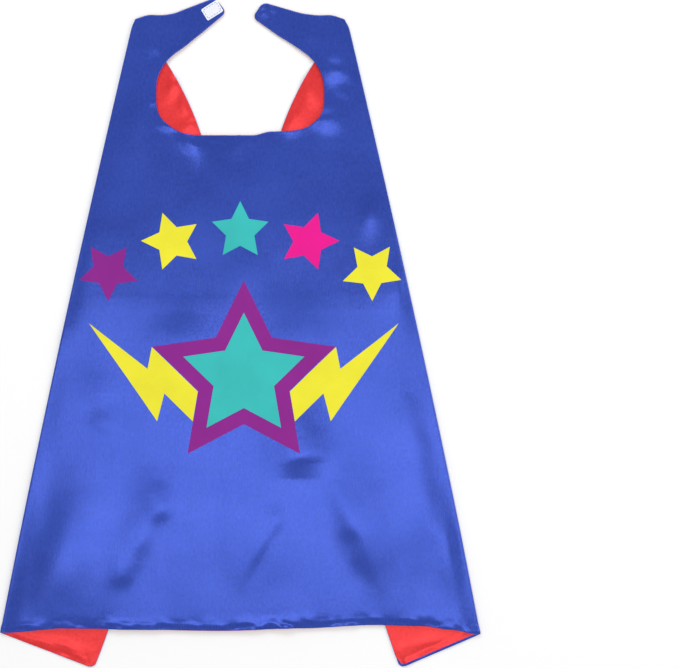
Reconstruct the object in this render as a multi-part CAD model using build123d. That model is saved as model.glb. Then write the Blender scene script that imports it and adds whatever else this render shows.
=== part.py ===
"""A child's superhero cape, laid flat with both side edges folded under.

The cape is bagged out: a blue satin shell and a red satin lining are sewn together round
the whole cut edge and turned right side out, so their seam allowances lie between them.
Heat-pressed film shapes decorate the shell, and a hook pad on one neck tab meets a loop
pad on the other. Cloth flexes along four lines: the two long folds at the sides, and the
roots of the two neck tabs. Each layer is split there, so that the pieces can turn.

Everything is built opened out flat, shell upwards, hem along the X axis. The sides are
then turned under about their folds, and the cape is moved so that the origin is at the
bottom centre of its bounding box. The neck points towards +Y.
"""

from build123d import *
import math
import os

os.makedirs("parts", exist_ok=True)

# The flat cut, in millimetres. Half of it is given, and it is mirrored about X = 0.
CAPE_LENGTH = 698.0  # hem to the upper corner of a neck tab
HALF_HEM = 364.5
HEM_CORNER_R = 6.0
SIDE_TOP = (316.5, 589.5)  # where the straight side edge would meet the shoulder line
SHOULDER_R = 343.0
SHOULDER = (117.0, 678.0)
SHOULDER_POINT_R = 22.0
TAB_WAIST = (71.0, 684.5)
TAB_WAIST_R = 60.0
TAB_TOP_X = 26.0
TAB_TOP_R = 9.0
TAB_END = (14.0, 681.0)
TAB_END_R = 5.0
NECK_SIDE = (91.2, 625.0)  # where the tab's lower edge would meet the side of the neck
NECK_SIDE_R = 50.0
NECK_BOTTOM_Y = 549.0
NECK_BOTTOM_R = 38.0

# Lines that the cloth flexes along, each given for the +X side.
FOLD_HEM_X = 266.0  # the side fold crosses the hem here
FOLD_TOP = (118.0, 678.0)
TAB_ROOT = ((91.6, 683.8), (71.6, 642.7))  # upper edge to neckline
TAB_REACH = 80.0  # no tab is longer than this
FLEX_GAP = 0.2  # each piece stops this far short of a flex line

# Thicknesses and heights.
SATIN = 0.4
ALLOWANCE = 0.2  # one turned-in seam allowance, pressed flat
ALLOWANCE_IN, ALLOWANCE_OUT = 9.0, 1.0  # its inner and outer edge, from the cut edge
THREAD_IN, THREAD_OUT = 0.8, 0.2  # the seam thread runs between these, from the cut edge
FOLD_SPACE = 0.4  # air between the folded-under side and the back panel
STACK = 2 * SATIN + 2 * ALLOWANCE
FOLD_Z = STACK + FOLD_SPACE / 2
LINING_Z = STACK + FOLD_SPACE
SEAM_Z = LINING_Z + SATIN
SHELL_Z = SEAM_Z + 2 * ALLOWANCE
TOP_Z = SHELL_Z + SATIN
FILM = 0.25

# Hook and loop pads, centred on the neck tabs.
PAD_LENGTH, PAD_WIDTH, PAD_THICK = 20.5, 14.0, 1.2
PAD_CENTRE = (30.0, 684.0)
PAD_SLOPE = 28.0  # degrees; the tab rises towards its tip
PAD_STITCH_INSET = 1.8

# Stitches.
STITCH_LENGTH, STITCH_PITCH, STITCH_WIDE, STITCH_HIGH = 2.2, 3.0, 0.5, 0.2
POCKET_DEPTH, POCKET_EXTRA = 0.3, 0.2
TURNING_GAP = (-112.0, -22.0)  # the hem is closed by hand between these after turning
TURNING_GAP_INSET = 2.0

# Film shapes. A big bordered star with a bolt at each side, under an arc of small stars.
STAR_CENTRE = (4.0, 282.0)
STAR_R, STAR_INNER_R = 106.0, 70.5
STAR_NOTCH = 0.5  # a notch's distance from the centre over a point's
# The left bolt's corners, from the star's centre. Its inner end runs beside the star's edge.
BOLT = ((-168, 58), (-106, 8), (-101.2, 32.3), (-51, -16.9), (-56.6, -50), (-88, -19), (-96, -50))
ARC_CENTRE = (0.0, 195.0)
ARC_R = 248.0
ARC_STEP = 17.6  # degrees between neighbouring small stars
ARC_COUNT = 5
SMALL_STAR_R = 33.0

FAR = 1500.0  # beyond the whole cape


def mirrored(points, side):
    return [(side * x, y) for x, y in points]


def flat_cut():
    """The cape's cut outline, opened out flat."""
    half = [
        ((HALF_HEM, 0.0), HEM_CORNER_R),
        (SIDE_TOP, SHOULDER_R),
        (SHOULDER, SHOULDER_POINT_R),
        (TAB_WAIST, TAB_WAIST_R),
        ((TAB_TOP_X, CAPE_LENGTH), TAB_TOP_R),
        (TAB_END, TAB_END_R),
        (NECK_SIDE, NECK_SIDE_R),
        ((NECK_SIDE[0], NECK_BOTTOM_Y), NECK_BOTTOM_R),
    ]
    other = [((-x, y), r) for (x, y), r in reversed(half)]
    points = [point for point, _ in half + other]
    radii = [radius for _, radius in half + other]
    return make_face(FilletPolyline(*points, radius=radii, close=True))


def edge_band(outline, inner, outer):
    """The strip of the outline between two distances in from the cut edge."""
    return offset(outline, -outer) - offset(outline, -inner)


def beyond(start, end, reach, overrun, gap):
    """The strip to the right of the line from start to end, a gap away from it."""
    along = (Vector(*end) - Vector(*start)).normalized()
    out = Vector(along.Y, -along.X)
    near, far = out * gap, out * reach
    first, last = Vector(*start) - along * overrun, Vector(*end) + along * overrun
    return make_face(Polyline(first + near, last + near, last + far, first + far, close=True))


def fold_line(side):
    """The side fold from hem to shoulder, directed so that the side lies to its right."""
    line = mirrored([(FOLD_HEM_X, 0.0), FOLD_TOP], side)
    return line if side > 0 else line[::-1]


def root_line(side):
    """A tab's root, directed so that the tab lies to its right."""
    line = mirrored(TAB_ROOT, side)
    return line if side > 0 else line[::-1]


def side_strip(side, gap):
    return beyond(*fold_line(side), reach=FAR, overrun=FAR, gap=gap)


def tab_strip(side, gap):
    return beyond(*root_line(side), reach=TAB_REACH, overrun=40.0, gap=gap)


def slab(face, z, thickness):
    return extrude(Pos(0, 0, z) * face, thickness)


def cloth_layers(region, allowances, thread):
    """Shell, lining and seam thread of one region of the flat cut."""
    band, run = region & allowances, region & thread
    shell = slab(region, SHELL_Z, SATIN) + slab(band, SHELL_Z - ALLOWANCE, ALLOWANCE)
    lining = slab(region, LINING_Z, SATIN) + slab(band, SEAM_Z, ALLOWANCE)
    return shell, lining, slab(run, SEAM_Z, 2 * ALLOWANCE)


def turned_under(shape, side):
    """The opened-out side, turned half a turn about its fold so that it lies underneath."""
    (x0, y0), (x1, y1) = fold_line(side)
    fold = Axis((x0, y0, FOLD_Z), (x1 - x0, y1 - y0, 0))
    return shape.rotate(fold, 180)


def stitch_places(points, closed):
    """Places of evenly spaced stitches along straight runs between points."""
    ends = points[1:] + points[:1] if closed else points[1:]
    places = []
    for (x0, y0), (x1, y1) in zip(points, ends):
        length, angle = math.hypot(x1 - x0, y1 - y0), math.atan2(y1 - y0, x1 - x0)
        count = int(length / STITCH_PITCH)
        for i in range(count):
            share = (i + 0.5) / count
            place = Pos(x0 + share * (x1 - x0), y0 + share * (y1 - y0), 0)
            places.append(place * Rot(0, 0, math.degrees(angle)))
    return places


def stitches(places, z, extra=0.0, height=STITCH_HIGH):
    """One small block for each place, standing on height z."""
    base = (Align.CENTER, Align.CENTER, Align.MIN)
    block = Box(STITCH_LENGTH + extra, STITCH_WIDE + extra, height, align=base)
    return [Pos(0, 0, z) * place * block for place in places]


def pad_place(side):
    return Pos(side * PAD_CENTRE[0], PAD_CENTRE[1], 0) * Rot(0, 0, -side * PAD_SLOPE)


def fastener(side, upward):
    """A pad on one face of a neck tab, and the box of stitches that holds it.

    The stitches sink into the pad, and stand proud of the satin on the tab's other face.
    """
    half_l, half_w = PAD_LENGTH / 2 - PAD_STITCH_INSET, PAD_WIDTH / 2 - PAD_STITCH_INSET
    corners = [(-half_l, -half_w), (half_l, -half_w), (half_l, half_w), (-half_l, half_w)]
    places = [pad_place(side) * place for place in stitch_places(corners, closed=True)]
    outline = pad_place(side) * Rectangle(PAD_LENGTH, PAD_WIDTH)
    if upward:
        face_z = TOP_Z + PAD_THICK
        pad = slab(outline, TOP_Z, PAD_THICK)
        pockets = stitches(places, face_z - POCKET_DEPTH, POCKET_EXTRA, POCKET_DEPTH)
        sunk = stitches(places, face_z - POCKET_DEPTH)
        proud = stitches(places, LINING_Z - STITCH_HIGH)
    else:
        face_z = LINING_Z - PAD_THICK
        pad = slab(outline, face_z, PAD_THICK)
        pockets = stitches(places, face_z, POCKET_EXTRA, POCKET_DEPTH)
        sunk = stitches(places, face_z + POCKET_DEPTH - STITCH_HIGH)
        proud = stitches(places, TOP_Z)
    return pad - pockets, Compound(children=sunk + proud)


def hem_closure():
    """Stitches on both faces that close the turning gap along the hem."""
    places = stitch_places([(x, TURNING_GAP_INSET) for x in TURNING_GAP], closed=False)
    above, below = stitches(places, TOP_Z), stitches(places, LINING_Z - STITCH_HIGH)
    return Compound(children=above + below)


def star(centre, radius, turn=0.0):
    """A five-pointed star, one point up and then turned by so many degrees."""
    points = []
    for i in range(10):
        angle = math.radians(90 + 36 * i + turn)
        reach = radius * (STAR_NOTCH if i % 2 else 1.0)
        points.append((centre[0] + reach * math.cos(angle), centre[1] + reach * math.sin(angle)))
    return make_face(Polyline(*points, close=True))


def bolt(side):
    """A lightning bolt that points away from the big star."""
    points = [(STAR_CENTRE[0] - side * x, STAR_CENTRE[1] + y) for x, y in BOLT]
    return make_face(Polyline(*points, close=True))


def emblem():
    """The film shapes, by node name."""
    films = {
        "star_border_film": slab(star(STAR_CENTRE, STAR_R), TOP_Z, FILM),
        "star_centre_film": slab(star(STAR_CENTRE, STAR_INNER_R), TOP_Z + FILM, FILM),
        "left_bolt_film": slab(bolt(-1), TOP_Z, FILM),
        "right_bolt_film": slab(bolt(1), TOP_Z, FILM),
    }
    for i in range(ARC_COUNT):
        turn = ARC_STEP * ((ARC_COUNT - 1) / 2 - i)
        angle = math.radians(90 + turn)
        x, y = ARC_R * math.cos(angle), ARC_R * math.sin(angle)
        centre = (ARC_CENTRE[0] + x, ARC_CENTRE[1] + y)
        films[f"arc_star_film_{i + 1}"] = slab(star(centre, SMALL_STAR_R, turn), TOP_Z, FILM)
    return films


def cape():
    """Every solid by node name, with the hem still along the X axis."""
    outline = flat_cut()
    allowances = edge_band(outline, ALLOWANCE_IN, ALLOWANCE_OUT)
    thread = edge_band(outline, THREAD_IN, THREAD_OUT)
    nodes = {}
    panel = outline
    for side, name in ((-1, "left"), (1, "right")):
        panel -= side_strip(side, -FLEX_GAP)
        panel -= tab_strip(side, -FLEX_GAP)
        flank = outline & side_strip(side, FLEX_GAP)
        layers = [turned_under(s, side) for s in cloth_layers(flank, allowances, thread)]
        for part, solid in zip(("shell", "lining", "seam_thread"), layers):
            nodes[f"{name}_side_{part}"] = solid
        tab = outline & tab_strip(side, FLEX_GAP)
        layers = cloth_layers(tab, allowances, thread)
        for part, solid in zip(("shell", "lining", "seam_thread"), layers):
            nodes[f"{name}_tab_{part}"] = solid
    layers = cloth_layers(panel, allowances, thread)
    for part, solid in zip(("shell", "lining", "seam_thread"), layers):
        nodes[f"back_panel_{part}"] = solid
    nodes["hook_pad"], nodes["hook_pad_stitches"] = fastener(-1, upward=True)
    nodes["loop_pad"], nodes["loop_pad_stitches"] = fastener(1, upward=False)
    nodes["hem_closing_stitches"] = hem_closure()
    nodes.update(emblem())
    return nodes


def middle_y(nodes):
    """Half way between the lowest and highest Y of all nodes."""
    boxes = [solid.bounding_box() for solid in nodes.values()]
    return (min(box.min.Y for box in boxes) + max(box.max.Y for box in boxes)) / 2


cape_nodes = cape()
centring = Pos(0, -middle_y(cape_nodes), 0)
for node, solid in cape_nodes.items():
    export_step(centring * solid, f"parts/{node}.step")
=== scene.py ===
"""Looks of the superhero cape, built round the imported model.

The cape lies flat, shell upwards, with both side edges folded under. Its cloth is made
once, as one lattice of triangles over the flat cut. The lattice is then folded, wrinkled
and given thickness, and it is split where the bodies part. Lengths are in millimetres on
the flat cut, with X from the middle of the cape and Y up from the hem, until a mesh is
made. The frame is in metres.
"""

import math

import bpy
import numpy as np
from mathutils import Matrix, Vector
from mathutils.geometry import delaunay_2d_cdt
from mathutils.kdtree import KDTree


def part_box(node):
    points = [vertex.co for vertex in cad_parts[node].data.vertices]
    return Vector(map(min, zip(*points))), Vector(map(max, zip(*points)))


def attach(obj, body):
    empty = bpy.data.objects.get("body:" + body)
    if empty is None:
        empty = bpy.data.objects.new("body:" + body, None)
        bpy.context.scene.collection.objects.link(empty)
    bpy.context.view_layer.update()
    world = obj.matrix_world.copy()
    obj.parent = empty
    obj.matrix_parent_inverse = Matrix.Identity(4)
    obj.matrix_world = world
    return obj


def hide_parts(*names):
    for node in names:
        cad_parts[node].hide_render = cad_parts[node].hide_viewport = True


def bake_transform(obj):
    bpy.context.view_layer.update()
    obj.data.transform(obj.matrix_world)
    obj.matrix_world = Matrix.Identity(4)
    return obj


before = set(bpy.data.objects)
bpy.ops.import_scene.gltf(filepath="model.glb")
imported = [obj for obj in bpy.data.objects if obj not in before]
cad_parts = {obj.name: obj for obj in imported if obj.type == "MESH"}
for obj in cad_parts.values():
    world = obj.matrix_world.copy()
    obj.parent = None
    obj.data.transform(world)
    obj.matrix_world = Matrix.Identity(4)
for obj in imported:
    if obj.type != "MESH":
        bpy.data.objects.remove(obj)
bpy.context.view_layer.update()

MM = 0.001
HEM_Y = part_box("back_panel_shell")[0].y / MM  # the hem's place in the frame
WORDS = {-1: "left", 1: "right"}  # the cape's two sides, by the sign of X
CORNERS = np.array([(-1, -1), (1, -1), (1, 1), (-1, 1)])  # of a rectangle, by their signs

# The flat cut, as the CAD part has it. Half of it is given: each corner and its radius.
HALF_CUT = (
    ((364.5, 0.0), 6.0),
    ((316.5, 589.5), 343.0),
    ((117.0, 678.0), 22.0),
    ((71.0, 684.5), 60.0),
    ((26.0, 698.0), 9.0),
    ((14.0, 681.0), 5.0),
    ((91.2, 625.0), 50.0),
    ((91.2, 549.0), 38.0),
)
FOLD_HEM_X = 266.0
FOLD_TOP = (118.0, 678.0)
TAB_ROOT = ((91.6, 683.8), (71.6, 642.7))

# The lattice. Rows of points are given by their distance from the edge, or from the fold.
EDGE_STEP = 2.0  # between points round the cut
EDGE_ROWS = (0.3, 0.8, 1.5, 2.3, 2.7, 3.0, 3.4, 4.2, 5.4, 6.8, 8.2, 9.6, 11.5, 14.0)
FOLD_BAND = (-4.0, 8.0)  # the folded band is cut from the back and the side here, from the fold
FOLD_ROWS = (-4.0, -3.0, -2.4, -1.8, -1.2, -0.6, 0.0, 0.6, 1.2, 1.8, 2.4, 3.0, 4.2, 6.0, 8.0)
SPACING = 4.0  # between points in the open cloth
LINE_STEP = 3.0  # between points along a line
CREASE_REACH = 250.0  # how far to each side the lines beside the creases go
ROOT_REACH = 6.0  # how far past the cloth's edges the line at a tab's root goes

# The cloth's cross-section.
LAYER = 0.28  # thickness of the shell, and of the lining
LOOSE_GAP = 0.06  # half the space between shell and lining
SEAM_GAP = 0.34  # the same where the turned-in allowances lie
ALLOWANCE = 9.8  # how deep these are, about
EDGE_ROUND = 0.8  # how far in the sewn edge's rounding reaches
HEM_BAND = 14.0  # the hem's rolls and thicker seam reach up this far
# How far the shell rolls over the cut edge to the lining's side, and where it does so.
ROLL = {"anywhere": 0.35, "lower_right": 2.6, "hem_middle": -0.75, "left_of_neck": -0.8}
ROLL_HEM_X, ROLL_HEM_WIDE = -20.0, 130.0
ROLL_NECK, ROLL_NECK_R, ROLL_NECK_WIDE = (-60.0, 590.0), 45.0, 30.0
FLAP_Z, PANEL_Z = 0.75, 2.4  # heights of the folded-under sides and of the back
FOLD_R = 1.4  # the folds' radius, which
FOLD_R_CHANGE = 0.3  # varies by about this share of it
FOLD_BULGE = 3.2  # the folded edges bow out by this half way up
BULGE_FADE = 130.0  # and the back takes that up over this distance from them
ROLL_FADE = 12.0  # the back comes down from the fold over this distance
RIDGE_FADE = 7.0  # and its ridges keep about this far off
FLAP_FADE = 25.0  # a side gets its full unevenness this far in from its fold
HEM_DROP = 1.5  # the back falls by this towards its hem
DROP_FADE, DROP_ROUND = 60.0, 11.0  # how far up that reaches, and how it rounds off at the hem
HEM_FADE = 120.0  # how far up the hem's straying reaches
TAB_STIFF = 0.75  # by this share the tabs are flatter than the back
TAB_BLEND = 30.0  # a tab's own turning and stiffness come in over this distance
TAB_BELOW = 20.0  # a tab's cloth lies no further than this below its root
CUT_MAP = "cut"

# The fastening pads on the neck tabs, and the stitches.
PAD_LENGTH, PAD_WIDTH = 20.5, 14.0
PAD_CENTRE = (30.0, 684.0)
PAD_SLOPE = 28.0
PAD_BASE = 0.55
PAD_ROUND = 1.2
PAD_STITCH_INSET = 1.8
STITCH_LENGTH, STITCH_PITCH = 2.2, 3.0
TURNING_GAP = (-112.0, -22.0)
TURNING_GAP_INSET = 2.0
SEAM_INSET, SEAM_THREAD_R = 0.45, 0.14
PAD_THREAD_R, HEM_THREAD_R = 0.2, 0.16
SEWN_REACH, SEWN_PULL, SEWN_SIZE = 14.0, 0.7, 3.4  # the cloth's gathers behind the loop pad

# The hooks and loops: the pitch of their rows, their thickness, and how far they keep from
# the tape's edges and from its stitching. A hook's and a loop's path is across and up.
HOOK_PITCH, LOOP_PITCH = 0.95, 0.8
HOOK_WIRE_R, LOOP_WIRE_R = 0.09, 0.06
TAPE_MARGIN, STITCH_CLEAR = (1.0, 0.6), 0.45
HOOK_PATH = ((0, 0), (0, 0.35), (0.08, 0.58), (0.24, 0.62), (0.34, 0.46))
LOOP_PATH = ((-0.3, 0), (-0.42, 0.5), (-0.2, 0.95), (0.2, 1.0), (0.42, 0.5), (0.3, 0))
LOOP_TALL = (0.3, 0.6)
LOOP_STRAY = 0.3

# The emblem.
FILM = 0.25  # a film's thickness
FILM_LIFT, FILM_TRIM = 0.03, 0.02  # clear of the cloth, and of the film above
FILM_EDGE_STEP, FILM_SPACING = 2.5, 3.4
STAR_CENTRE = (4.0, 282.0)
STAR_R, STAR_INNER_R, STAR_NOTCH = 106.0, 70.5, 0.5
BOLT = ((-168.0, 58.0), (-106.0, 8.0), (-101.2, 32.3), (-51.0, -16.9), (-56.6, -50.0),
        (-88.0, -19.0), (-96.0, -50.0))
ARC_CENTRE, ARC_R, ARC_STEP = (0.0, 195.0), 248.0, 17.6
SMALL_STAR_R = 33.0
ARC_COLOURS = ("purple", "yellow", "teal", "pink", "yellow")
FILM_COLOURS = {
    "purple": (0.26, 0.018, 0.262),
    "teal": (0.043, 0.50, 0.48),
    "yellow": (0.83, 0.77, 0.036),
    "pink": (0.80, 0.008, 0.27),
}

# The studio: the view is straight down, wide enough for the empty floor on the right.
CAMERA_HIGH, VIEW_WIDE, CAMERA_OVER = 2.2, 0.7537, (0.110, 0.0)
FLOOR_HALF = 3.0
AMBIENT = 0.63
LIGHTS = (
    ("long_softbox", (0.0, -0.34, 2.6), (1.6, 0.76), 11.3),
    ("top_fill", (-0.4, 2.2, 2.0), (2.4, 1.0), 27.0),
    ("side_fill", (2.6, 0.2, 1.8), (1.0, 1.6), 20.0),
)


def unit(vector):
    """A vector's direction, of length 1."""
    return vector / np.linalg.norm(vector)


def units(rows):
    """Each row's direction, of length 1."""
    return rows / np.maximum(np.linalg.norm(rows, axis=1), 1e-15)[:, None]


def direction(degrees):
    """The direction so many degrees round from +X."""
    angle = math.radians(degrees)
    return np.array([math.cos(angle), math.sin(angle)])


def smooth(t):
    """Runs from 0 to 1 as t does, and is level at both ends."""
    t = np.clip(t, 0.0, 1.0)
    return t * t * (3 - 2 * t)


def bell(t):
    """1 at zero, and falls softly to nothing on both sides."""
    return np.exp(-t * t)


def noise(x, y, seed):
    """A smooth random field between about -1 and 1, whose bumps are about a unit apart."""
    table = np.random.default_rng(seed).uniform(-1.5, 1.5, (64, 64))
    i, j = np.floor(x).astype(int), np.floor(y).astype(int)
    weights = []
    for f in (x - i, y - j):
        weights.append(((1 - f) ** 3 / 6, (3 * f**3 - 6 * f**2 + 4) / 6,
                        (-3 * f**3 + 3 * f**2 + 3 * f + 1) / 6, f**3 / 6))
    total = np.zeros_like(np.asarray(x, float))
    for a in range(4):
        for b in range(4):
            total += weights[0][a] * weights[1][b] * table[(i + a) % 64, (j + b) % 64]
    return total


# --- outlines and lattices

def rounded_loop(corners, step):
    """Points round a closed outline of ((x, y), radius) corners, at most a step apart."""
    points = [np.array(point, float) for point, _ in corners]
    loop = []
    for i, (corner, (_, radius)) in enumerate(zip(points, corners)):
        back = unit(points[i - 1] - corner)
        ahead = unit(points[(i + 1) % len(points)] - corner)
        turn = math.pi - math.acos(np.clip(back @ ahead, -1, 1))
        first = corner + back * radius * math.tan(turn / 2)
        centre = corner + unit(back + ahead) * radius / math.cos(turn / 2)
        arm = first - centre
        sweep = turn if ahead[0] * back[1] - ahead[1] * back[0] > 0 else -turn
        count = max(2, math.ceil(radius * turn / step))
        for k in range(count + 1):
            c, s = math.cos(sweep * k / count), math.sin(sweep * k / count)
            loop.append(centre + np.array([c * arm[0] - s * arm[1], s * arm[0] + c * arm[1]]))
    return subdivided(np.array(loop), step)


def subdivided(loop, step):
    """The loop with its runs divided into about equal steps."""
    points = []
    for a, b in zip(loop, np.roll(loop, -1, axis=0)):
        count = max(1, round(float(np.linalg.norm(b - a)) / step))
        points += [a + (b - a) * k / count for k in range(count)]
    return np.array(points)


class Outline:
    """A closed loop of points, and what is measured from it."""

    def __init__(self, loop):
        self.loop = loop
        self.next = np.roll(loop, -1, axis=0)
        self.run = self.next - loop
        self.length = np.linalg.norm(self.run, axis=1)
        self.start = np.concatenate([[0.0], np.cumsum(self.length)[:-1]])
        area = 0.5 * float((loop[:, 0] * self.next[:, 1] - self.next[:, 0] * loop[:, 1]).sum())
        left = np.stack([-self.run[:, 1], self.run[:, 0]], axis=1) / self.length[:, None]
        self.inward = left * math.copysign(1.0, area)
        self.tree = KDTree(len(loop))
        for i, point in enumerate(loop):
            self.tree.insert((*point, 0.0), i)
        self.tree.balance()

    def inside(self, points):
        """Whether each point lies inside, by the edges to its right."""
        (ax, ay), (bx, by) = self.loop.T, self.next.T
        found = []
        for part in np.array_split(points, max(1, len(points) // 4000)):
            x, y = part[:, :1], part[:, 1:]
            crosses = (ay > y) != (by > y)
            at = ax + (y - ay) * (bx - ax) / np.where(by == ay, 1.0, by - ay)
            found.append((crosses & (x < at)).sum(axis=1) % 2 == 1)
        return np.concatenate(found)

    def nearest(self, points):
        """Distance to the loop, the inward direction there, and the distance round it."""
        near = np.array([self.tree.find((*p, 0.0))[1] for p in points])
        best = None
        for k in (near, (near - 1) % len(self.loop)):
            rel = points - self.loop[k]
            share = np.clip((rel * self.run[k]).sum(1) / self.length[k] ** 2, 0, 1)
            gap = np.linalg.norm(rel - share[:, None] * self.run[k], axis=1)
            found = gap, self.inward[k], self.start[k] + share * self.length[k]
            if best is None:
                best = found
            else:
                closer = gap < best[0]
                best = tuple(np.where(closer if f.ndim == 1 else closer[:, None], f, b)
                             for f, b in zip(found, best))
        return best

    def clip(self, start, end, step):
        """The stretches of a straight line that lie inside, as chains of points."""
        line = end - start
        rel = self.loop - start
        cross = line[0] * self.run[:, 1] - line[1] * self.run[:, 0]
        cross = np.where(np.abs(cross) < 1e-12, 1e-12, cross)
        t = (rel[:, 0] * self.run[:, 1] - rel[:, 1] * self.run[:, 0]) / cross
        u = (rel[:, 0] * line[1] - rel[:, 1] * line[0]) / cross
        cuts = np.sort(t[(u >= 0) & (u < 1) & (t >= 0) & (t <= 1)])
        chains = []
        for a, b in zip(cuts[:-1], cuts[1:]):
            middle = start + line * (a + b) / 2
            long = (b - a) * np.linalg.norm(line)
            if long > 0.2 * step and self.inside(middle[None])[0]:
                count = max(1, round(long / step))
                shares = a + (b - a) * np.arange(count + 1) / count
                chains.append(start + shares[:, None] * line)
        return chains


def lattice(outline, rows, lines, spacing, step):
    """Points and triangles over an outline, with rows beside its edge and along lines."""
    chains = [(outline.loop, True)]
    normal = units(outline.inward + np.roll(outline.inward, 1, axis=0))
    for row in rows:
        moved = outline.loop + normal * row
        kept = outline.inside(moved) & (outline.nearest(moved)[0] > 0.985 * row)
        for run in np.split(np.arange(len(moved)), np.flatnonzero(~kept)):
            run = run[kept[run]]
            if len(run) > 1:
                chains.append((moved[run], False))
    for start, end in lines:
        chains += [(chain, False) for chain in outline.clip(start, end, step)]
    low, high = outline.loop.min(0), outline.loop.max(0)
    height = spacing * math.sqrt(0.75)
    grid = np.array([(x + (j % 2) * spacing / 2, low[1] + j * height)
                     for j in range(int((high[1] - low[1]) / height) + 1)
                     for x in np.arange(low[0], high[0], spacing)])
    grid = grid[outline.inside(grid)]
    clear = max(rows) + 0.55 * spacing
    grid = grid[outline.nearest(grid)[0] > clear]
    for start, end in lines:
        along = unit(end - start)
        rel = grid - start
        off = np.abs(rel[:, 0] * along[1] - rel[:, 1] * along[0])
        on = rel @ along
        grid = grid[(off > 0.4 * spacing) | (on < 0) | (on > np.linalg.norm(end - start))]
    points, edges = list(grid), []
    for chain, closed in chains:
        first, last = len(points), len(points) + len(chain) - 1
        points += list(chain)
        edges += [(i, i + 1) for i in range(first, last)]
        if closed:
            edges.append((last, first))
    made = delaunay_2d_cdt([Vector(p) for p in points], edges, [], 1, 1e-3)
    triangles = np.array([f for f in made[2] if len(f) == 3])
    return np.array([tuple(p) for p in made[0]]), triangles


# --- how the cloth lies

class Fold:
    """One side's fold line on the flat cut."""

    def __init__(self, side):
        self.side = side
        self.start = np.array([side * FOLD_HEM_X, 0.0])
        end = np.array([side * FOLD_TOP[0], FOLD_TOP[1]])
        self.length = np.linalg.norm(end - self.start)
        self.along = unit(end - self.start)
        self.out = side * np.array([self.along[1], -self.along[0]])

    def measure(self, points):
        """How far along the fold and how far beyond it each point is."""
        rel = points - self.start
        return rel @ self.along, rel @ self.out

    def line(self, beyond):
        """The line parallel to the fold, some distance beyond it, longer than the cut."""
        reach = 40.0
        return (self.start + self.out * beyond - self.along * reach,
                self.start + self.out * beyond + self.along * (self.length + reach))


FOLDS = {side: Fold(side) for side in (-1, 1)}

# Lasting creases from packing: the height on the cut where each runs across, how far its
# edge stands up, and how far the cloth round it is raised like a low roof.
CREASES = ((363.0, 0.6, 0.5), (539.0, 0.12, 0.0), (176.0, 0.07, 0.0), (271.0, 0.1, 0.0))
CREASE_ROWS = (-2.6, -1.2, -0.5, 0.0, 0.5, 1.2, 2.6)
CREASE_TILT = 0.004
CREASE_FADE, ROOF_FADE = 2.4, 40.0  # how far the edge and the roof reach to each side
SHARP = 4.0  # narrower ridges get rows of the lattice
SHARP_REACH = 1.5  # and these rows are so many times as long as the ridge
RIDGE_STRAY = 1.5  # how far the ridges wander from their places

# Ripples beside the seams: their height, what the hem adds and how far up, how deep they may
# go below the cloth, and how far they reach from the edge.
PUCKER, PUCKER_HEM, PUCKER_HIGH = 0.12, 0.9, 16.0
PUCKER_LOWEST, PUCKER_FADE = -0.5, 11.0

# Soft ridges in the back, each with its top's middle, its heading in degrees, its reach
# along that, its width to the left and to the right of it, and its height.
RIDGES = (
    # beside the left fold, and the creases that run up from the left corner
    (-196, 76, 72, 78, 28, 46, 6.0),
    (-117, 93, 63, 50, 24, 15, 2.2),
    (-144, 87, 33, 28, 3.6, 3.6, 0.35),
    (-90, 138, 20, 18, 34, 15, 1.9),
    (-131, 58, 10, 12, 25, 9, 0.9),
    # the middle crease and the long one right of it
    (21, 91, 60, 36, 18, 6, 0.8),
    (42, 124, 66, 12, 12, 8, 0.6),
    (132, 110, 114, 62, 19, 44, 4.1),
    (66, 197, 14, 32, 70, 20, 4.4),
    # beside the right fold
    (206, 128, 103, 60, 34, 15, 2.4),
    (230, 84, 98, 44, 12, 9, 1.7),
    (188, 215, 108, 50, 30, 14, 1.4),
    # two small dents left of the emblem
    (-156, 263, 4, 18, 22, 11, 1.1),
    (-150, 229, -4, 15, 16, 10, 0.9),
    # broad swells under the emblem's top
    (-66, 326, 8, 26, 26, 44, 1.6),
    (62, 324, 0, 36, 38, 44, 1.8),
    (0, 112, 0, 120, 60, 80, 3.0),
    (-165, 405, 96, 60, 30, 30, 1.6),
    (3, 395, 0, 20, 40, 34, 1.0),
    (178, 392, 84, 40, 30, 24, 1.6),
    (142, 464, -8, 10, 14, 24, 1.8),
    (178, 392, -10, 9, 12, 22, 1.4),
    # the lifted corners of the hem
    (-252, -8, 0, 24, 26, 10, 1.4),
    (248, -8, 0, 30, 26, 10, 1.4),
    # round the neck
    (-79, 556, -30, 12, 6, 5.5, 1.4),
    (-70, 549, -20, 8, 4, 4, -0.6),
    (-55, 542, -35, 13, 8, 11, 2.5),
    (-48, 527, 80, 14, 8, 7, 0.8),
    (-4, 536, 0, 10, 10, 12, 0.8),
    (104, 623, -35, 17, 12, 15, 4.0),
    (112, 596, -50, 10, 6, 7, 0.9),
    (95, 567, 10, 18, 10, 15, 2.8),
    (54, 552, 5, 13, 8, 8, 0.9),
    (-112, 566, 92, 32, 12, 12, 1.4),
    (-97, 586, 20, 6, 5, 5, 0.7),
    (-94, 650, 45, 14, 12, 9, 1.3),
    (-86, 640, 110, 10, 5, 6, 0.7),
    (74, 662, 80, 12, 6, 8, 0.9),
    (95, 655, 120, 16, 10, 8, 0.9),
)

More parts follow.
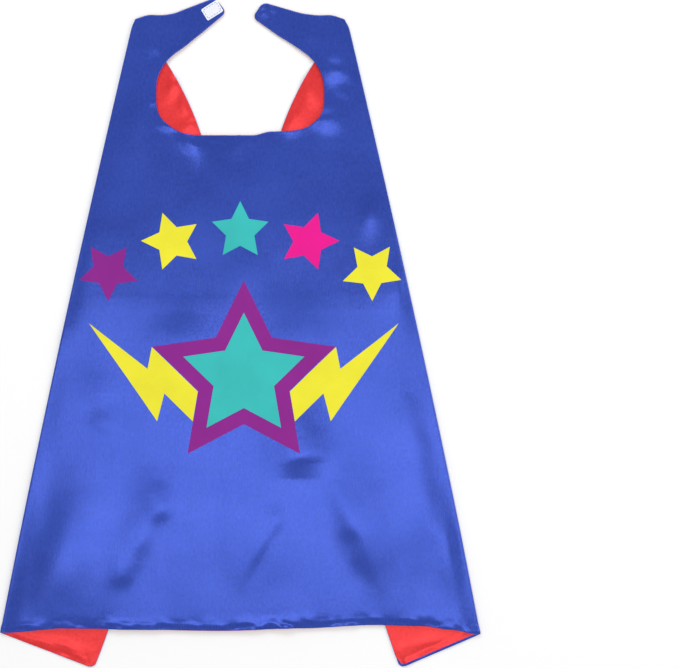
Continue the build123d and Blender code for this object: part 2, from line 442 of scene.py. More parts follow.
# The same for the sides' undersides, where they show in the neck and below the hem. The
# places are those of the folded side.
SIDE_RIDGES = (
    (-74, 606, 62, 16, 6, 8, 3.0),
    (-62, 584, 98, 16, 7, 9, 2.2),
    (-56, 560, 25, 12, 6, 8, 2.0),
    (76, 602, 112, 20, 9, 10, 2.6),
    (62, 572, 60, 18, 8, 10, 2.0),
    (-212, -13, -13, 38, 5, 6, 0.9),
    (-186, -24, -32, 16, 5, 5, 0.7),
    (206, -10, 14, 24, 5, 7, 0.8),
    (182, -24, 100, 12, 5, 5, 0.6),
)

# How far the hem strays up from a straight line, at places along it.
HEM_STRAY = ((-265, -2.6), (-196, 2.6), (-110, 1.0), (-20, -0.2), (66, 2.6), (150, 6.2),
             (204, 4.9), (232, 1.0), (265, -4.2))
# The same for the bottom of the neck: its height on the cut, how far that reaches, and the
# straying at places along it.
NECK_BOTTOM_Y = 549.0
NECK_FADE = 36.0
NECK_STRAY = ((-92, 0.0), (-78, 2.4), (-42, 0.2), (14, 0.2), (34, 4.3), (60, 4.8), (78, 3.2),
              (92, 0.0))
FLAP_WIDER = {-1: 0.16, 1: 0.0}  # by how much each side is laid wider at its hem
FLAP_LIFT = {-1: 0.047, 1: 0.028}  # how fast its hem rises away from the fold


def ridges(x, y, table=RIDGES):
    """Height of the soft ridges at points of the back."""
    x, y = (v + RIDGE_STRAY * noise(x / 12, y / 12, seed) for v, seed in ((x, 71), (y, 72)))
    height = np.zeros_like(x)
    for cx, cy, heading, reach, left, right, tall in table:
        c, s = direction(heading)
        along = (x - cx) * c + (y - cy) * s
        across = (y - cy) * c - (x - cx) * s
        height += tall * bell(along / reach) * bell(across / np.where(across > 0, left, right))
    return height


def swell(x, y):
    """Uneven looseness of the cloth, always above its base."""
    return (0.5 * noise(x / 70 + 7.3, y / 95 + 3.1, 11) + 0.22 * noise(x / 26, y / 44, 12)
            + 0.09 * noise(x / 9, y / 22, 13) + 0.16 * noise(x / 13, y / 150, 14) + 0.95)


def crease_lines():
    """Lines of the lattice along and beside each packing crease and sharp ridge."""
    ends = (-CREASE_REACH, CREASE_REACH)
    lines = [tuple(np.array([x, at + row + CREASE_TILT * x]) for x in ends)
             for at, _, _ in CREASES for row in CREASE_ROWS]
    for x, y, heading, reach, left, right, _ in RIDGES:
        if min(left, right) < SHARP:
            along = direction(heading)
            across = np.array([-along[1], along[0]])
            half = SHARP_REACH * reach * along
            for row in CREASE_ROWS:
                middle = np.array([x, y]) + across * row
                lines.append((middle - half, middle + half))
    return lines


def creases(x, y):
    """Height of the packing creases, each stronger in some places than in others."""
    height = np.zeros_like(x)
    for i, (at, tall, roof) in enumerate(CREASES):
        off = np.abs(y - at - CREASE_TILT * x)
        strength = 0.6 + 0.4 * noise(x / 55, np.full_like(x, 5.5 * i), 21)
        height += tall * strength * np.exp(-off / CREASE_FADE) + roof * np.exp(-off / ROOF_FADE)
    return height


def smoothly_between(x, pairs):
    """A value interpolated between (place, value) pairs without corners."""
    places, values = np.array(pairs, float).T
    i = np.clip(np.searchsorted(places, x) - 1, 0, len(places) - 2)
    share = smooth((x - places[i]) / (places[i + 1] - places[i]))
    return values[i] + (values[i + 1] - values[i]) * share


def pucker(edge, round_it, x, y):
    """Small ripples beside the seams. The hem has the most, more in some places."""
    hem = bell(y / PUCKER_HIGH) * (PUCKER_HEM + noise(x / 35, y * 0, 31) ** 2)
    fine = 0.7 * noise(round_it / 6, edge / 4, 32) + noise(round_it / 15, edge / 5, 33)
    return np.maximum((PUCKER + hem) * fine, PUCKER_LOWEST) * bell(edge / PUCKER_FADE)


def tab_root(side):
    """The upper and lower ends of the line that a tab bends from."""
    return [np.array([side * x, y]) for x, y in TAB_ROOT]


def tab_out(side):
    """The direction that a tab points in, square to its root."""
    top, low = tab_root(side)
    return side * unit(np.array([(low - top)[1], (top - low)[0]]))


def tab_share(points, side):
    """0 before a neck tab's root, 1 well beyond it."""
    top, low = tab_root(side)
    return smooth((points - top) @ tab_out(side) / TAB_BLEND) * (points[:, 1] > low[1] - TAB_BLEND)


SHOULDER_ROUND = {-1: 1.8, 1: 2.6}  # how far each folded edge turns in at the shoulder
SHOULDER_FADE = 7.0  # how far down the fold that reaches
SHOULDER_LIFT = 2.6  # how much higher the shoulders lie than they were cut
SHOULDER_X, SHOULDER_WIDE = 103.0, 11.0  # where that is
SHOULDER_Y, SHOULDER_HIGH = 640.0, 30.0  # and the heights between which it sets in
TAB_TURN = {-1: 4.0, 1: -1.0}  # degrees by which each tab is laid higher than it was cut


def laid(points, edge, round_it):
    """Where points of the flat cut's middle surface lie, in the frame but in millimetres."""
    place = np.zeros((len(points), 3))
    for side, fold in FOLDS.items():
        pick = points[:, 0] * side >= 0
        if pick.any():
            place[pick] = laid_half(fold, points[pick], edge[pick], round_it[pick])
    return place


def laid_half(fold, points, edge, round_it):
    """The same on one side of the middle, where the cloth folds under about its fold."""
    side = fold.side
    along, beyond = fold.measure(points)
    share = np.clip(along / fold.length, 0, 1)
    radius = FOLD_R * (1 + FOLD_R_CHANGE * noise(along / 42, along * 0 + side, 41))
    arc = math.pi * radius / 2
    edge_at = FOLD_BULGE * 4 * share * (1 - share)
    edge_at -= SHOULDER_ROUND[side] * bell(fold.length * (1 - share) / SHOULDER_FADE)
    centre = edge_at - radius
    angle = np.clip((beyond + arc) / radius, 0, math.pi)
    inward, under = np.maximum(-beyond - arc, 0), np.maximum(beyond - arc, 0)
    on_back = beyond < -arc
    wider = 1 + FLAP_WIDER[side] * smooth(1 - share / 0.6)
    across = np.where(on_back, beyond + (centre + arc) * smooth(1 - inward / BULGE_FADE),
                      centre + radius * np.sin(angle) - under * wider)
    flat = fold.start + along[:, None] * fold.along + across[:, None] * fold.out

    flap = FLAP_Z + smooth(under / FLAP_FADE) * flap_relief(*flat.T)
    roll = bell(inward / ROLL_FADE)
    back = PANEL_Z + (FLAP_Z + 2 * radius - PANEL_Z) * roll
    back += back_relief(points, side, inward, roll)
    ripple = pucker(edge, round_it, *points.T)
    z = np.where(on_back, back + ripple, flap + radius * (1 + np.cos(angle)) + 0.5 * ripple)
    z = np.where(beyond > 0, np.maximum(z, FLAP_Z), z)

    x, y = points.T
    flat = tab_turned(flat, side, tab_share(points, side))
    flat[:, 1] += (SHOULDER_LIFT * bell((x * side - SHOULDER_X) / SHOULDER_WIDE)
                   * smooth((y - SHOULDER_Y) / SHOULDER_HIGH))
    flat[:, 1] += (on_back * smoothly_between(x, NECK_STRAY)
                   * bell((y - NECK_BOTTOM_Y) / NECK_FADE))
    fold_x = fold.start[0] + along * fold.along[0] + centre * fold.out[0]
    from_x = np.where(on_back, flat[:, 0], fold_x)
    stray = smoothly_between(from_x, HEM_STRAY) + FLAP_LIFT[side] * under
    flat[:, 1] += stray * bell(flat[:, 1] / HEM_FADE)
    return np.column_stack([flat[:, 0], flat[:, 1] + HEM_Y, z])


def flap_relief(x, y):
    """Unevenness of a folded-under side, by where it lies."""
    uneven = 0.3 + 0.3 * noise(x / 28, y / 36, 51) + ridges(x, y, SIDE_RIDGES)
    return np.maximum(uneven, 0)


def back_relief(points, side, inward, roll):
    """Unevenness of the back, which fades towards the fold and in the tabs."""
    x, y = points.T
    drop = HEM_DROP * (0.5 + 0.5 * smooth(y / DROP_ROUND)) * bell(y / DROP_FADE)
    relief = swell(x, y) + creases(x, y) + drop
    relief = relief * (1 - roll) + ridges(x, y) * (1 - bell(inward / RIDGE_FADE))
    relief *= 1 - TAB_STIFF * tab_share(points, side)
    if side > 0:
        sewn = bell(np.hypot(x - PAD_CENTRE[0], y - PAD_CENTRE[1]) / SEWN_REACH)
        relief += SEWN_PULL * sewn * noise(x / SEWN_SIZE, y / SEWN_SIZE, 35)
    return relief


def tab_turned(flat, side, share):
    """Points of a tab turned in their plane about the middle of its root."""
    root = sum(tab_root(side)) / 2
    angle = np.radians(-side * TAB_TURN[side]) * share
    rel = flat - root
    c, s = np.cos(angle), np.sin(angle)
    return root + np.stack([c * rel[:, 0] - s * rel[:, 1], s * rel[:, 0] + c * rel[:, 1]], axis=1)


def vertex_normals(points, triangles):
    """The surface's direction at each point, by the areas of its triangles."""
    a, b, c = (points[triangles[:, k]] for k in range(3))
    face = np.cross(b - a, c - a)
    total = np.zeros_like(points)
    for k in range(3):
        np.add.at(total, triangles[:, k], face)
    return units(total)


# --- the cloth's mesh

def roll_over(x, y):
    """How far the shell rolls over the cut edge to the lining's side; negative the other way."""
    at_hem = smooth((HEM_BAND - y) / 8)
    corner_x = HALF_CUT[0][0][0]
    lower_right = smooth((x - FOLD_HEM_X + 4) / 12) * smooth((corner_x + 7.5 - x) / 10)
    hem_middle = bell((x - ROLL_HEM_X) / ROLL_HEM_WIDE)
    off_neck = np.hypot(x - ROLL_NECK[0], y - ROLL_NECK[1]) - ROLL_NECK_R
    neck = bell(off_neck / ROLL_NECK_WIDE) * smooth((SHOULDER_Y - y) / 30) * (x < 0)
    return (ROLL["anywhere"] + ROLL["lower_right"] * lower_right * at_hem
            + ROLL["hem_middle"] * hem_middle * at_hem + ROLL["left_of_neck"] * neck)


def half_gap(depth, x, y):
    """Half the space between shell and lining, by distance from the edge."""
    hem = bell(y / HEM_BAND)
    band = smooth((ALLOWANCE + 0.8 * noise(x / 9, y / 9, 62) - depth) / (4 - 2 * hem))
    uneven = 0.4 + 0.6 * hem + 0.3 * noise(x / 14, y / 14, 61)
    return LOOSE_GAP + (SEAM_GAP - LOOSE_GAP) * band * np.clip(uneven, 0.1, 1.4)


class Cloth:
    """Both layers of the cape, over one lattice of the flat cut."""

    def __init__(self):
        corners = list(HALF_CUT) + [((-x, y), r) for (x, y), r in reversed(HALF_CUT)]
        self.outline = Outline(rounded_loop(corners, EDGE_STEP))
        lines = [fold.line(row) for fold in FOLDS.values() for row in FOLD_ROWS]
        for side in (-1, 1):
            top, low = tab_root(side)
            over = ROOT_REACH * unit(top - low)
            lines.append((top + over, low - over))
        lines += crease_lines()
        self.flat, self.triangles = lattice(self.outline, EDGE_ROWS, lines, SPACING, LINE_STEP)
        place = self.outline.nearest(self.flat)
        self.shell = self.layer(self.flat, place, 1)
        self.lining = self.layer(self.flat, place, -1)
        self.region = np.array([region_of(p) for p in self.flat[self.triangles].mean(axis=1)])

    def layer(self, flat, place, face):
        """Outer and inner points of the shell (face 1) or the lining (face -1)."""
        edge, inward, round_it = place
        over = face * roll_over(*flat.T) * smooth((12 - edge) / 8)
        depth = edge - over
        inside, way = np.abs(depth), face * np.where(depth < 0, -1.0, 1.0)
        t = np.clip(inside / EDGE_ROUND, 0, 1)
        rim = np.sqrt(1 - (1 - t) ** 2)
        gap = half_gap(inside, *flat.T)
        surfaces = []
        for height, inset in ((gap + LAYER, 0.0), (gap, LAYER)):
            moved = flat + inward * (inside - edge + inset * (1 - t))[:, None]
            rise = laid_normal(moved, edge, round_it) * (way * height * rim)[:, None]
            surfaces.append(laid(moved, edge, round_it) + rise)
        return surfaces

    def on_face(self, flat, face, above=0.0):
        """Points above the outside of the shell or the lining, and the way out from them."""
        place = self.outline.nearest(flat)
        outer = self.layer(flat, place, face)[0]
        out = face * laid_normal(flat, place[0], place[2])
        return outer + above * out, out


def laid_normal(flat, edge, round_it):
    """The upper side's direction at points of the laid middle surface."""
    right, up = (laid(flat + step, edge, round_it) - laid(flat - step, edge, round_it)
                 for step in (np.array([0.2, 0.0]), np.array([0.0, 0.2])))
    return units(np.cross(right, up))


def region_of(point):
    """Which piece of the cloth a point of the flat cut belongs to."""
    side = -1 if point[0] < 0 else 1
    beyond = FOLDS[side].measure(point)[1]
    if FOLD_BAND[0] < beyond < FOLD_BAND[1]:
        return f"{WORDS[side]}_fold"
    if beyond > 0:
        return f"{WORDS[side]}_side"
    top, low = tab_root(side)
    by_the_tab = abs(point[0]) < abs(top[0]) and point[1] > low[1] - TAB_BELOW
    if by_the_tab and (point - top) @ tab_out(side) > 0:
        return f"{WORDS[side]}_tab"
    return "back_panel"


# --- meshes

def solid_mesh(name, triangles, outer, inner, normal, flat):
    """A closed mesh between two surfaces over the same triangles, with a UV map of the cut."""
    used, index = np.unique(triangles, return_inverse=True)
    tri, count = index.reshape(-1, 3), len(used)
    pairs = np.concatenate([tri[:, [0, 1]], tri[:, [1, 2]], tri[:, [2, 0]]])
    _, first, uses = np.unique(np.sort(pairs, axis=1), axis=0, return_index=True,
                               return_counts=True)
    border = pairs[first[uses == 1]]
    walls = np.column_stack([border[:, ::-1], border + count])
    points = np.concatenate([outer[used], inner[used]]) * MM
    faces = [*tri.tolist(), *(tri[:, ::-1] + count).tolist(), *walls.tolist()]
    mesh = bpy.data.meshes.new(name)
    mesh.from_pydata(points.tolist(), [], faces)
    corner = np.zeros(len(mesh.loops), np.int32)
    mesh.loops.foreach_get("vertex_index", corner)
    uv = np.concatenate([flat[used], flat[used]])[corner] * MM
    mesh.uv_layers.new(name=CUT_MAP).data.foreach_set("uv", uv.astype(np.float32).ravel())
    normals = np.concatenate([normal[used], -normal[used]])[corner]
    a, b, _, d = (points[walls[:, k]] for k in range(4))
    normals[6 * len(tri):] = np.repeat(units(np.cross(b - a, d - a)), 4, axis=0)
    mesh.polygons.foreach_set("use_smooth", np.ones(len(mesh.polygons), bool))
    mesh.normals_split_custom_set(normals.tolist())
    return mesh


def tube_mesh(name, paths, radius, sides=6):
    """Closed round tubes along paths of points. Each path comes with a direction across it."""
    points, faces = [], []
    turns = np.arange(sides) * 2 * math.pi / sides
    for path, across in paths:
        along = units(np.gradient(path, axis=0))
        first = units(across - (along @ across)[:, None] * along)
        second = np.cross(along, first)
        base = len(points)
        for centre, u, v in zip(path, first, second):
            points += [centre + radius * (math.cos(t) * u + math.sin(t) * v) for t in turns]
        for ring in range(len(path) - 1):
            for k in range(sides):
                a, b = base + ring * sides + k, base + ring * sides + (k + 1) % sides
                faces.append((a, b, b + sides, a + sides))
        faces.append(tuple(base + k for k in reversed(range(sides))))
        faces.append(tuple(base + (len(path) - 1) * sides + k for k in range(sides)))
    mesh = bpy.data.meshes.new(name)
    mesh.from_pydata((np.array(points) * MM).tolist(), [], faces)
    mesh.polygons.foreach_set("use_smooth", np.ones(len(mesh.polygons), bool))
    return mesh


def new_object(name, data):
    """A new object in the scene."""
    made = bpy.data.objects.new(name, data)
    bpy.context.scene.collection.objects.link(made)
    return made


def add(mesh, material, nodes, body=None):
    """A piece that shows a mesh in place of CAD nodes."""
    piece = new_object(mesh.name, mesh)
    mesh.materials.append(material)
    if body:
        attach(piece, body)
    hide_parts(*nodes)
    return piece


# --- pieces

def flat_size(points, triangles, fold):
    """Width, length and area in metres of a region of the cut, along its fold if it has one."""
    used = points[np.unique(triangles)]
    u, v = fold.measure(used) if fold else used.T
    a, b, c = (points[triangles[:, k]] for k in range(3))
    area = 0.5 * np.abs(np.cross(b - a, c - a)).sum()
    width, length = sorted((float(np.ptp(u)), float(np.ptp(v))))
    return (width * MM, length * MM), float(area) * MM * MM


def add_region(cloth, mesh, material, region, part):
    """Adds one region of a part of the cape. A back or side piece rides on its body; a fold's or a
    tab's piece is on no body.
    """
    word, _, kind = region.partition("_")
    side = 1 if word == WORDS[1] else -1
    if kind == "fold":
        piece = add(mesh, material, [f"back_panel_{part}", f"{word}_side_{part}"])
        blend_fold(cloth, piece, side)
    elif kind == "tab":
        piece = add(mesh, material, [f"{region}_{part}"])
        blend_tab(piece)
    else:
        piece = add(mesh, material, [f"{region}_{part}"], region)
    return piece


def blend_fold(cloth, piece, side):
    """Bakes the placing of a piece of the folded band into its mesh."""
    fold = FOLDS[side]
    beyond = np.tile(fold.measure(cloth.flat)[1], 2)
    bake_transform(piece)


def blend_tab(piece):
    """Bakes the placing of a tab's piece into its mesh."""
    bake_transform(piece)


def make_cloth(cloth, materials):
    """The shell and the lining, each in the regions that the bodies need."""
    for layer, face in (("shell", 1), ("lining", -1)):
        outer, inner = cloth.shell if face > 0 else cloth.lining
        normal = face * vertex_normals(outer, cloth.triangles)
        slot = f"{layer}_satin"
        for region in np.unique(cloth.region):
            triangles = cloth.triangles[cloth.region == region]
            facing = triangles if face > 0 else triangles[:, ::-1]
            name = f"{region}_{layer}_cloth"
            mesh = solid_mesh(name, facing, outer, inner, normal, cloth.flat)
            piece = add_region(cloth, mesh, materials[slot], region, layer)
            beside = region.endswith(("_fold", "_side"))
            fold = FOLDS[1 if region.startswith(WORDS[1]) else -1] if beside else None
            flat, area = flat_size(cloth.flat, triangles, fold)


def make_threads(cloth, materials):
    """The seam inside the edge: a row of lock stitches between shell and lining."""
    loop = subdivided(cloth.outline.loop, 1.0)
    inset = loop + cloth.outline.nearest(loop)[1] * SEAM_INSET
    place = cloth.outline.nearest(inset)
    middle = (cloth.layer(inset, place, 1)[1] + cloth.layer(inset, place, -1)[1]) / 2
    regions = np.array([region_of(p) for p in inset])
    for region in np.unique(regions):
        marks = regions == region
        order = (np.arange(len(marks)) + np.argmin(marks)) % len(marks)
        runs = np.split(order, np.flatnonzero(np.diff(marks[order].astype(int))) + 1)
        paths = [(middle[run], np.array([0.0, 0.0, 1.0])) for run in runs
                 if marks[run[0]] and len(run) > 2]
        mesh = tube_mesh(f"{region}_seam", paths, SEAM_THREAD_R)
        add_region(cloth, mesh, materials["seam_thread"], region, "seam_thread")


def overlay(cloth, name, outline, face, low, high, spacing, lines=()):
    """A thin closed piece that follows the cloth between two heights above it."""
    flat, triangles = lattice(outline, (0.6,), lines, spacing, spacing)
    surface, out = cloth.on_face(flat, face)
    inner, outer = surface + low * out, surface + high * out
    normal = face * vertex_normals(outer, triangles)
    facing = triangles if face > 0 else triangles[:, ::-1]
    return solid_mesh(name, facing, outer, inner, normal, flat)


def star_points(centre, radius, turn=0.0):
    """A five-pointed star, one point up and then turned by so many degrees."""
    angles = np.radians(90 + 36 * np.arange(10) + turn)
    reach = radius * np.where(np.arange(10) % 2, STAR_NOTCH, 1.0)
    x, y = centre
    return np.stack([x + reach * np.cos(angles), y + reach * np.sin(angles)], axis=1)


def bolt_points(side):
    """The corners of the bolt to the star's left or right."""
    return np.array([(STAR_CENTRE[0] - side * x, STAR_CENTRE[1] + y) for x, y in BOLT])


def make_films(cloth, materials):
    """The emblem: each film's outline, how many films lie under it, and its colour."""
    shapes = {
        "star_border_film": (star_points(STAR_CENTRE, STAR_R), 0, "purple"),
        "star_centre_film": (star_points(STAR_CENTRE, STAR_INNER_R), 1, "teal"),
        "left_bolt_film": (bolt_points(-1), 0, "yellow"),
        "right_bolt_film": (bolt_points(1), 0, "yellow"),
    }
    for i, colour in enumerate(ARC_COLOURS):
        turn = ARC_STEP * (2 - i)
        centre = ARC_CENTRE + ARC_R * direction(90 + turn)
        shapes[f"arc_star_film_{i + 1}"] = (star_points(centre, SMALL_STAR_R, turn), 0, colour)
    for node, (points, level, colour) in shapes.items():
        outline = Outline(subdivided(points, FILM_EDGE_STEP))
        low = FILM_LIFT + level * FILM
        mesh = overlay(cloth, node.replace("film", "print"), outline, 1, low,
                       low + FILM - FILM_TRIM, FILM_SPACING, crease_lines())
        add(mesh, materials[f"{colour}_film"], [node], "back_panel")


def pad_axes(side):
    """A pad's centre, and its directions along and across the tab."""
    along = direction(-side * PAD_SLOPE)
    return np.array([side * PAD_CENTRE[0], PAD_CENTRE[1]]), along, np.array([-along[1], along[0]])


def stitch_places(corners, closed):
    """Centre and heading of evenly spaced stitches along straight runs between corners."""
    ends = np.roll(corners, -1, axis=0) if closed else corners[1:]
    places = []
    for a, b in zip(corners, ends):
        count = int(np.linalg.norm(b - a) / STITCH_PITCH)
        places += [(a + (b - a) * (i + 0.5) / count, unit(b - a)) for i in range(count)]
    return places


def stitch_paths(cloth, places, face, above):
    """Each stitch as a low arch whose ends sink into what it holds."""
    paths = []
    t = np.linspace(-1, 1, 7)
    for centre, heading in places:
        flat = centre + heading * t[:, None] * STITCH_LENGTH / 2
        points, out = cloth.on_face(flat, face, above)
        rise = 0.2 * (1 - t**2) - 0.12 * t**4
        paths.append((points + rise[:, None] * out, np.cross(out[3], [*heading, 0.0])))
    return paths


def tape_spots(half, pitch):
    """Places for hooks or loops on a tape, in rows that leave its stitching clear."""
    low, high = TAPE_MARGIN
    spots = [(i, j) for i in np.arange(-half[0] + low, half[0] - high, pitch)
             for j in np.arange(-half[1] + low, half[1] - high, pitch)]
    return np.array([(i, j) for i, j in spots if STITCH_CLEAR
                     < abs(max(abs(i) - half[0], abs(j) - half[1]) + PAD_STITCH_INSET)])


def hook_paths(feet, outs, along):
    """Woven hooks, which lean one way and the other by turns."""
    paths = []
    for k, (foot, out) in enumerate(zip(feet, outs)):
        turn = np.array([*((1 if k % 2 else -1) * along), 0.0])
        path = np.array([foot + across * turn + up * out for across, up in HOOK_PATH])
        paths.append((path, np.cross(out, turn)))
    return paths


def loop_paths(feet, outs, rng):
    """Fluffy loops, turned at random and of uneven height."""
    paths = []
    for foot, out in zip(feet, outs):
        angle = rng.uniform(0, 2 * math.pi)
        turn = np.array([math.cos(angle), math.sin(angle), 0.0])
        tall = rng.uniform(*LOOP_TALL)
        path = np.array([foot + across * turn + up * tall * out for across, up in LOOP_PATH])
        paths.append((path, np.cross(out, turn)))
    return paths


def make_pads(cloth, materials):
    """The hook tape on one tab's shell and the loop tape on the other's lining."""
    rng = np.random.default_rng(71)
    half = np.array([PAD_LENGTH, PAD_WIDTH]) / 2
    for side, name, face in ((-1, "hook", 1), (1, "loop", -1)):
        centre, along, up = pad_axes(side)
        axes = np.array([along, up])
        body, slot, nodes = f"{WORDS[side]}_tab", f"{name}_tape", [f"{name}_pad"]
        corners = [(corner, PAD_ROUND) for corner in centre + CORNERS * half @ axes]
        outline = Outline(rounded_loop(corners, 1.0))
        base = overlay(cloth, f"{name}_tape_base", outline, face, 0.02, PAD_BASE, 1.2)
        add(base, materials[slot], nodes, body)

        spots = tape_spots(half, HOOK_PITCH if name == "hook" else LOOP_PITCH)
        if name == "loop":
            spots += rng.uniform(-LOOP_STRAY, LOOP_STRAY, spots.shape)
        feet, outs = cloth.on_face(centre + spots @ axes, face, PAD_BASE - 0.05)
        if name == "hook":
            mesh = tube_mesh("hook_tape_hooks", hook_paths(feet, outs, along), HOOK_WIRE_R, 5)
        else:
            mesh = tube_mesh("loop_tape_loops", loop_paths(feet, outs, rng), LOOP_WIRE_R, 5)
        add(mesh, materials[slot], nodes, body)

        box = centre + CORNERS * (half - PAD_STITCH_INSET) @ axes
        places = stitch_places(box, closed=True)
        paths = stitch_paths(cloth, places, face, PAD_BASE)
        paths += stitch_paths(cloth, places, -face, 0.0)
        mesh = tube_mesh(f"{name}_tape_stitching", paths, PAD_THREAD_R)
        add(mesh, materials["pad_thread"], [f"{name}_pad_stitches"], body)


def make_hem_closure(cloth, materials):
    """Slanting hand stitches that close the gap the cape was turned through."""
    ends = np.array([(x, TURNING_GAP_INSET) for x in TURNING_GAP])
    places = stitch_places(ends, closed=False)
    slant = unit(np.array([1.0, 0.35]))
    places = [(centre, slant) for centre, _ in places]
    paths = stitch_paths(cloth, places, 1, 0.0) + stitch_paths(cloth, places, -1, 0.0)
    mesh = tube_mesh("hem_closing_thread", paths, HEM_THREAD_R)
    add(mesh, materials["seam_thread"], ["hem_closing_stitches"], "back_panel")


# --- materials

class Nodes:
    """A new material, with short calls to add nodes to it."""

    def __init__(self, name):
        self.material = bpy.data.materials.new(name)
        self.material.use_nodes = True
        self.tree = self.material.node_tree
        self.shader = self.tree.nodes["Principled BSDF"]

    def add(self, kind, inputs=(), out=0, **settings):
        """A new node. Inputs are (socket, value or output) pairs. Its output is returned."""
        node = self.tree.nodes.new(kind)
        for key, value in settings.items():
            setattr(node, key, value)
        self.set(node, inputs)
        return node.outputs[out]

    def set(self, node, inputs):
        """Links or sets a node's inputs."""
        for socket, value in dict(inputs).items():
            if isinstance(value, bpy.types.NodeSocket):
                self.tree.links.new(value, node.inputs[socket])
            else:
                node.inputs[socket].default_value = value

    def math(self, operation, a, b):
        """The sum, product or the like of two values."""
        return self.add("ShaderNodeMath", {0: a, 1: b}, operation=operation)

    def cut_point(self, per_x, per_y):
        """The place on the flat cut, in cycles of a pattern with so many per millimetre."""
        uv = self.add("ShaderNodeUVMap", uv_map=CUT_MAP)
        scale = (per_x / MM, per_y / MM, 1.0)
        return self.add("ShaderNodeVectorMath", {0: uv, 1: scale}, operation="MULTIPLY")

    def noise(self, point, detail):
        """A noise pattern, with about one bump to each cycle."""
        inputs = {"Vector": point, "Scale": 1.0, "Detail": detail, "Roughness": 0.55}
        return self.add("ShaderNodeTexNoise", inputs)

    def mix(self, factor, a, b):
        """A mix of two colours."""
        return self.add("ShaderNodeMix", {0: factor, 6: a, 7: b}, out=2, data_type="RGBA")

    def ramp(self, value, low, high, to_low=0.0, to_high=1.0):
        """A value mapped from one range onto another, and kept within that."""
        inputs = {0: value, 1: low, 2: high, 3: to_low, 4: to_high}
        return self.add("ShaderNodeMapRange", inputs, clamp=True)


def satin(name, dark, light, metallic, roughness):
    """Shiny satin: lengthwise floats, faint slubs, cloudy patches and a fine grain. The grain in
    the colour is partly the weave's own tone and partly painted glint of the threads; the cloudy
    patches make the colour lighter and darker and vary the roughness.
    """
    n = Nodes(name)
    floats = n.noise(n.cut_point(2.4, 0.09), 3.0)
    slubs = n.noise(n.cut_point(0.55, 0.02), 2.0)
    cloud = n.noise(n.cut_point(0.012, 0.016), 3.0)
    grain = n.noise(n.cut_point(0.34, 0.25), 4.0)
    # The colour's tone mixes the floats' streaks, the cloudy patches and, at half its weight, a
    # fine grain that is partly painted glint of the threads.
    tone = n.math("ADD", n.math("MULTIPLY", floats, 0.25), n.math("MULTIPLY", cloud, 0.25))
    tone = n.math("ADD", tone, n.math("MULTIPLY", grain, 0.5))
    colour = n.mix(n.ramp(tone, 0.36, 0.64), (*dark, 1), (*light, 1))
    lift = n.math("ADD", n.math("MULTIPLY", floats, 0.5), n.math("MULTIPLY", slubs, 0.35))
    lift = n.math("ADD", lift, n.math("MULTIPLY", grain, 0.5))
    bump = n.add("ShaderNodeBump", {"Height": lift, "Strength": 0.9, "Distance": 0.00014})
    tangent = n.add("ShaderNodeTangent", direction_type="UV_MAP", uv_map=CUT_MAP)
    worn = n.math("ADD", n.ramp(cloud, 0.3, 0.7, roughness - 0.04, roughness + 0.04),
                  n.ramp(floats, 0.3, 0.7, -0.03, 0.03))
    n.set(n.shader, {"Base Color": colour, "Metallic": metallic, "Roughness": worn,
                     "Normal": bump, "Anisotropic": 0.55, "Tangent": tangent,
                     "Sheen Weight": 0.12, "Sheen Roughness": 0.4})
    return n.material


def film(name, dark, light):
    """Heat-pressed film: nearly matte, with the cloth's grain showing through."""
    n = Nodes(name)
    grain = n.noise(n.cut_point(1.6, 0.5), 3.0)
    cloud = n.noise(n.cut_point(0.02, 0.02), 3.0)
    tone = n.math("ADD", n.math("MULTIPLY", grain, 0.35), n.math("MULTIPLY", cloud, 0.65))
    bump = n.add("ShaderNodeBump", {"Height": grain, "Strength": 0.3, "Distance": 0.00008})
    n.set(n.shader, {"Base Color": n.mix(n.ramp(tone, 0.3, 0.7), (*dark, 1), (*light, 1)),
                     "Roughness": n.ramp(grain, 0.3, 0.7, 0.46, 0.6), "Normal": bump,
                     "Specular IOR Level": 0.12})
    return n.material


def yarn(name, dark, light, scale, roughness):
    """Thread or tape fibre, by place in the model."""
    n = Nodes(name)
    place = n.add("ShaderNodeTexCoord", out=3)
    fine = n.add("ShaderNodeTexNoise", {"Vector": place, "Scale": scale, "Detail": 4.0})
    bump = n.add("ShaderNodeBump", {"Height": fine, "Strength": 0.4, "Distance": 0.0001})
    n.set(n.shader, {"Base Color": n.mix(n.ramp(fine, 0.35, 0.65), (*dark, 1), (*light, 1)),
                     "Roughness": n.ramp(fine, 0.3, 0.7, roughness - 0.08, roughness + 0.08),
                     "Normal": bump, "Sheen Weight": 0.25})
    return n.material


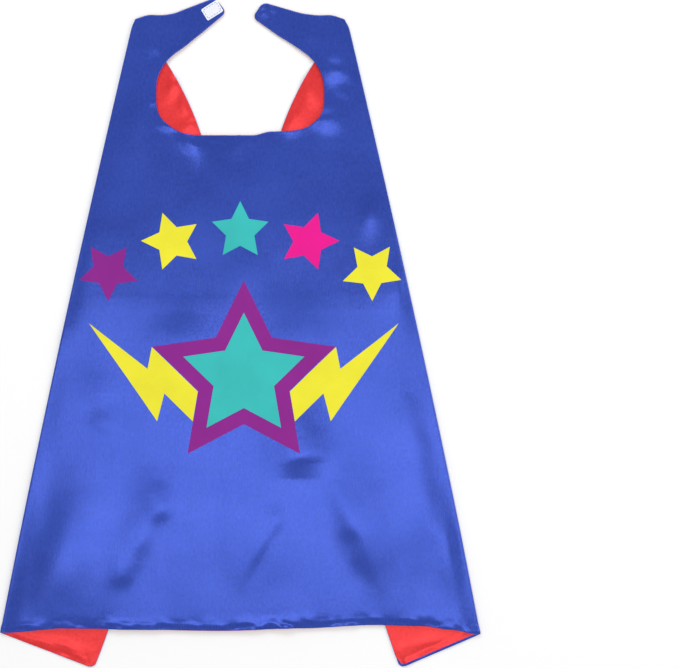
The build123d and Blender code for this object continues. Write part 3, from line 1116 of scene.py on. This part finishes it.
def make_materials():
    """Every finish by its slot's name. Each has a dark and a light colour."""
    blue = (0.0175, 0.047, 0.345), (0.0275, 0.074, 0.465)
    red = (0.70, 0.017, 0.020), (0.84, 0.036, 0.040)
    made = {
        "shell_satin": satin("blue_satin", *blue, metallic=0.5, roughness=0.28),
        "lining_satin": satin("red_satin", *red, metallic=0.4, roughness=0.36),
        "seam_thread": yarn("blue_thread", (0.03, 0.06, 0.34), (0.06, 0.11, 0.52), 2600, 0.55),
        "pad_thread": yarn("blue_pad_thread", (0.035, 0.065, 0.36), (0.07, 0.12, 0.55), 2600, 0.55),
        "hook_tape": yarn("white_hook_nylon", (0.82, 0.84, 0.93), (0.92, 0.94, 0.99), 1400, 0.4),
        "loop_tape": yarn("white_loop_nylon", (0.78, 0.79, 0.85), (0.90, 0.91, 0.96), 1800, 0.7),
    }
    for name, colour in FILM_COLOURS.items():
        dark, light = ([min(1.0, c * k) for c in colour] for k in (0.9, 1.08))
        made[f"{name}_film"] = film(f"{name}_print_film", dark, light)
    return made


# --- studio

def make_studio():
    """A white floor, soft light and the camera."""
    floor = bpy.data.meshes.new("floor")
    corners = [(*corner, 0.0) for corner in FLOOR_HALF * CORNERS]
    floor.from_pydata(corners, [], [(0, 1, 2, 3)])
    piece = new_object("floor", floor)
    paper = Nodes("white_paper")
    paper.set(paper.shader, {"Base Color": (0.95, 0.95, 0.95, 1), "Roughness": 0.9})
    floor.materials.append(paper.material)

    world = bpy.data.worlds.new("studio")
    world.use_nodes = True
    background = world.node_tree.nodes["Background"]
    background.inputs["Color"].default_value = (1, 1, 1, 1)
    background.inputs["Strength"].default_value = AMBIENT
    bpy.context.scene.world = world

    for name, place, size, power in LIGHTS:
        light = bpy.data.lights.new(name, "AREA")
        light.shape, light.size, light.size_y = "RECTANGLE", *size
        light.energy = power
        lamp = new_object(name, light)
        lamp.location = place
        lamp.rotation_euler = (-Vector(place)).to_track_quat("-Z", "Y").to_euler()

    camera = bpy.data.cameras.new("photo_camera")
    camera.lens = camera.sensor_width * CAMERA_HIGH / VIEW_WIDE
    viewer = new_object("photo_camera", camera)
    viewer.location = (*CAMERA_OVER, CAMERA_HIGH)
    bpy.context.scene.camera = viewer
    bpy.context.scene.view_settings.view_transform = "Standard"


cape = Cloth()
finishes = make_materials()
make_cloth(cape, finishes)
make_threads(cape, finishes)
make_films(cape, finishes)
make_pads(cape, finishes)
make_hem_closure(cape, finishes)
make_studio()
